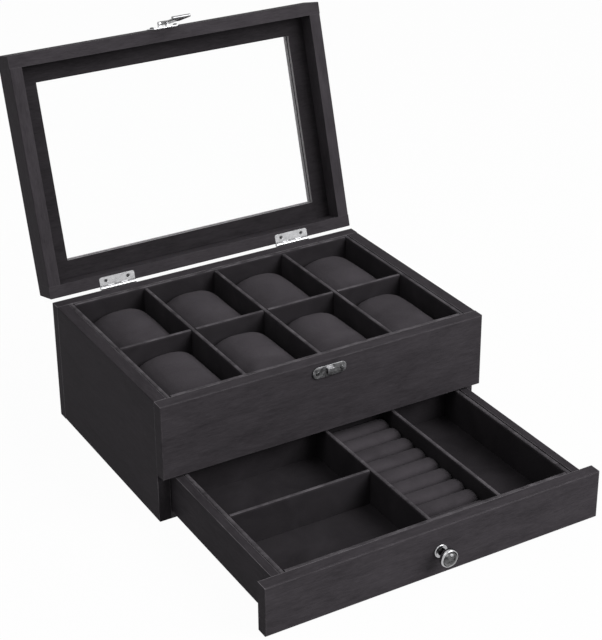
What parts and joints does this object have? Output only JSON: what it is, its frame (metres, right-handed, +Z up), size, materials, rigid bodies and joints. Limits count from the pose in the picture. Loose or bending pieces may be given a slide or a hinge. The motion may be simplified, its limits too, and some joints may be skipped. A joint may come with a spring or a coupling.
{
  "type": "watch box with drawer",
  "caption": "Black wrapped watch box with a windowed lid open on its hinges, pillows in a lined tray, and a lined drawer with ring rolls pulled out.",
  "frame": {"origin": "centre of the case underside", "axes": "+X to the right, +Y to the back, +Z up"},
  "size_m": [0.28, 0.4392, 0.3076],
  "materials": {
    "board": "black grained wrap, satin",
    "lining": "short velvet",
    "pillow": "soft suede cloth",
    "glass": "clear",
    "hinge_metal": "satin nickel",
    "bright_metal": "polished"
  },
  "bodies": {
    "case": {"case_back_wall": "board", "case_bottom_panel": "board", "case_left_wall": "board", "case_right_wall": "board", "catch_plate": "bright_metal", "catch_screws": "bright_metal", "front_fascia": "board", "hinge_case_leaf_left": "hinge_metal", "hinge_case_leaf_right": "hinge_metal", "hinge_case_screws": "hinge_metal", "hinge_pins": "hinge_metal", "middle_deck": "board", "tray_divider_cross": "lining", "tray_divider_long_1": "lining", "tray_divider_long_2": "lining", "tray_divider_long_3": "lining", "tray_floor_pad": "lining", "tray_lining_back": "lining", "tray_lining_front": "lining", "tray_lining_left": "lining", "tray_lining_right": "lining"},
    "lid": {"hinge_lid_leaf_left": "hinge_metal", "hinge_lid_leaf_right": "hinge_metal", "hinge_lid_screws": "hinge_metal", "latch_base_plate": "bright_metal", "latch_pin": "bright_metal", "latch_screws": "bright_metal", "lid_back_rail": "board", "lid_front_rail": "board", "lid_inner_frame": "board", "lid_left_rail": "board", "lid_right_rail": "board", "lid_top_panel": "board", "window_glass": "glass"},
    "hasp": {"latch_hasp": "bright_metal"},
    "drawer": {"drawer_back": "board", "drawer_bottom": "board", "drawer_divider_cross": "lining", "drawer_divider_middle": "lining", "drawer_divider_right": "lining", "drawer_floor_pad": "lining", "drawer_front": "board", "drawer_left_side": "board", "drawer_lining_back": "lining", "drawer_lining_front": "lining", "drawer_lining_left": "lining", "drawer_lining_right": "lining", "drawer_right_side": "board", "knob": "bright_metal", "knob_rosette": "bright_metal", "knob_screw": "bright_metal", "ring_rolls": "lining"},
    "pillow_1": {"watch_pillow_1": "pillow"},
    "pillow_2": {"watch_pillow_2": "pillow"},
    "pillow_3": {"watch_pillow_3": "pillow"},
    "pillow_4": {"watch_pillow_4": "pillow"},
    "pillow_5": {"watch_pillow_5": "pillow"},
    "pillow_6": {"watch_pillow_6": "pillow"},
    "pillow_7": {"watch_pillow_7": "pillow"},
    "pillow_8": {"watch_pillow_8": "pillow"}
  },
  "joints": [
    {"name": "lid_hinge", "type": "hinge", "parent": "case", "child": "lid", "pos_m": [0, 0.0987, 0.1025], "axis": [-1, 0, 0], "range_deg": [-105.7, 0]},
    {"name": "drawer_slide", "type": "slide", "parent": "case", "child": "drawer", "axis": [0, 1, 0], "range_m": [-0.008, 0.15]},
    {"name": "hasp_hinge", "type": "hinge", "parent": "lid", "child": "hasp", "pos_m": [0, 0.16491, 0.29185], "axis": [1, 0, 0], "range_deg": [-155, 8]},
    {"name": "pillow_lift_1", "type": "slide", "parent": "case", "child": "pillow_1", "axis": [0, 0, 1], "range_m": [0, 0.06]},
    {"name": "pillow_lift_2", "type": "slide", "parent": "case", "child": "pillow_2", "axis": [0, 0, 1], "range_m": [0, 0.06]},
    {"name": "pillow_lift_3", "type": "slide", "parent": "case", "child": "pillow_3", "axis": [0, 0, 1], "range_m": [0, 0.06]},
    {"name": "pillow_lift_4", "type": "slide", "parent": "case", "child": "pillow_4", "axis": [0, 0, 1], "range_m": [0, 0.06]},
    {"name": "pillow_lift_5", "type": "slide", "parent": "case", "child": "pillow_5", "axis": [0, 0, 1], "range_m": [0, 0.06]},
    {"name": "pillow_lift_6", "type": "slide", "parent": "case", "child": "pillow_6", "axis": [0, 0, 1], "range_m": [0, 0.06]},
    {"name": "pillow_lift_7", "type": "slide", "parent": "case", "child": "pillow_7", "axis": [0, 0, 1], "range_m": [0, 0.06]},
    {"name": "pillow_lift_8", "type": "slide", "parent": "case", "child": "pillow_8", "axis": [0, 0, 1], "range_m": [0, 0.06]}
  ]
}
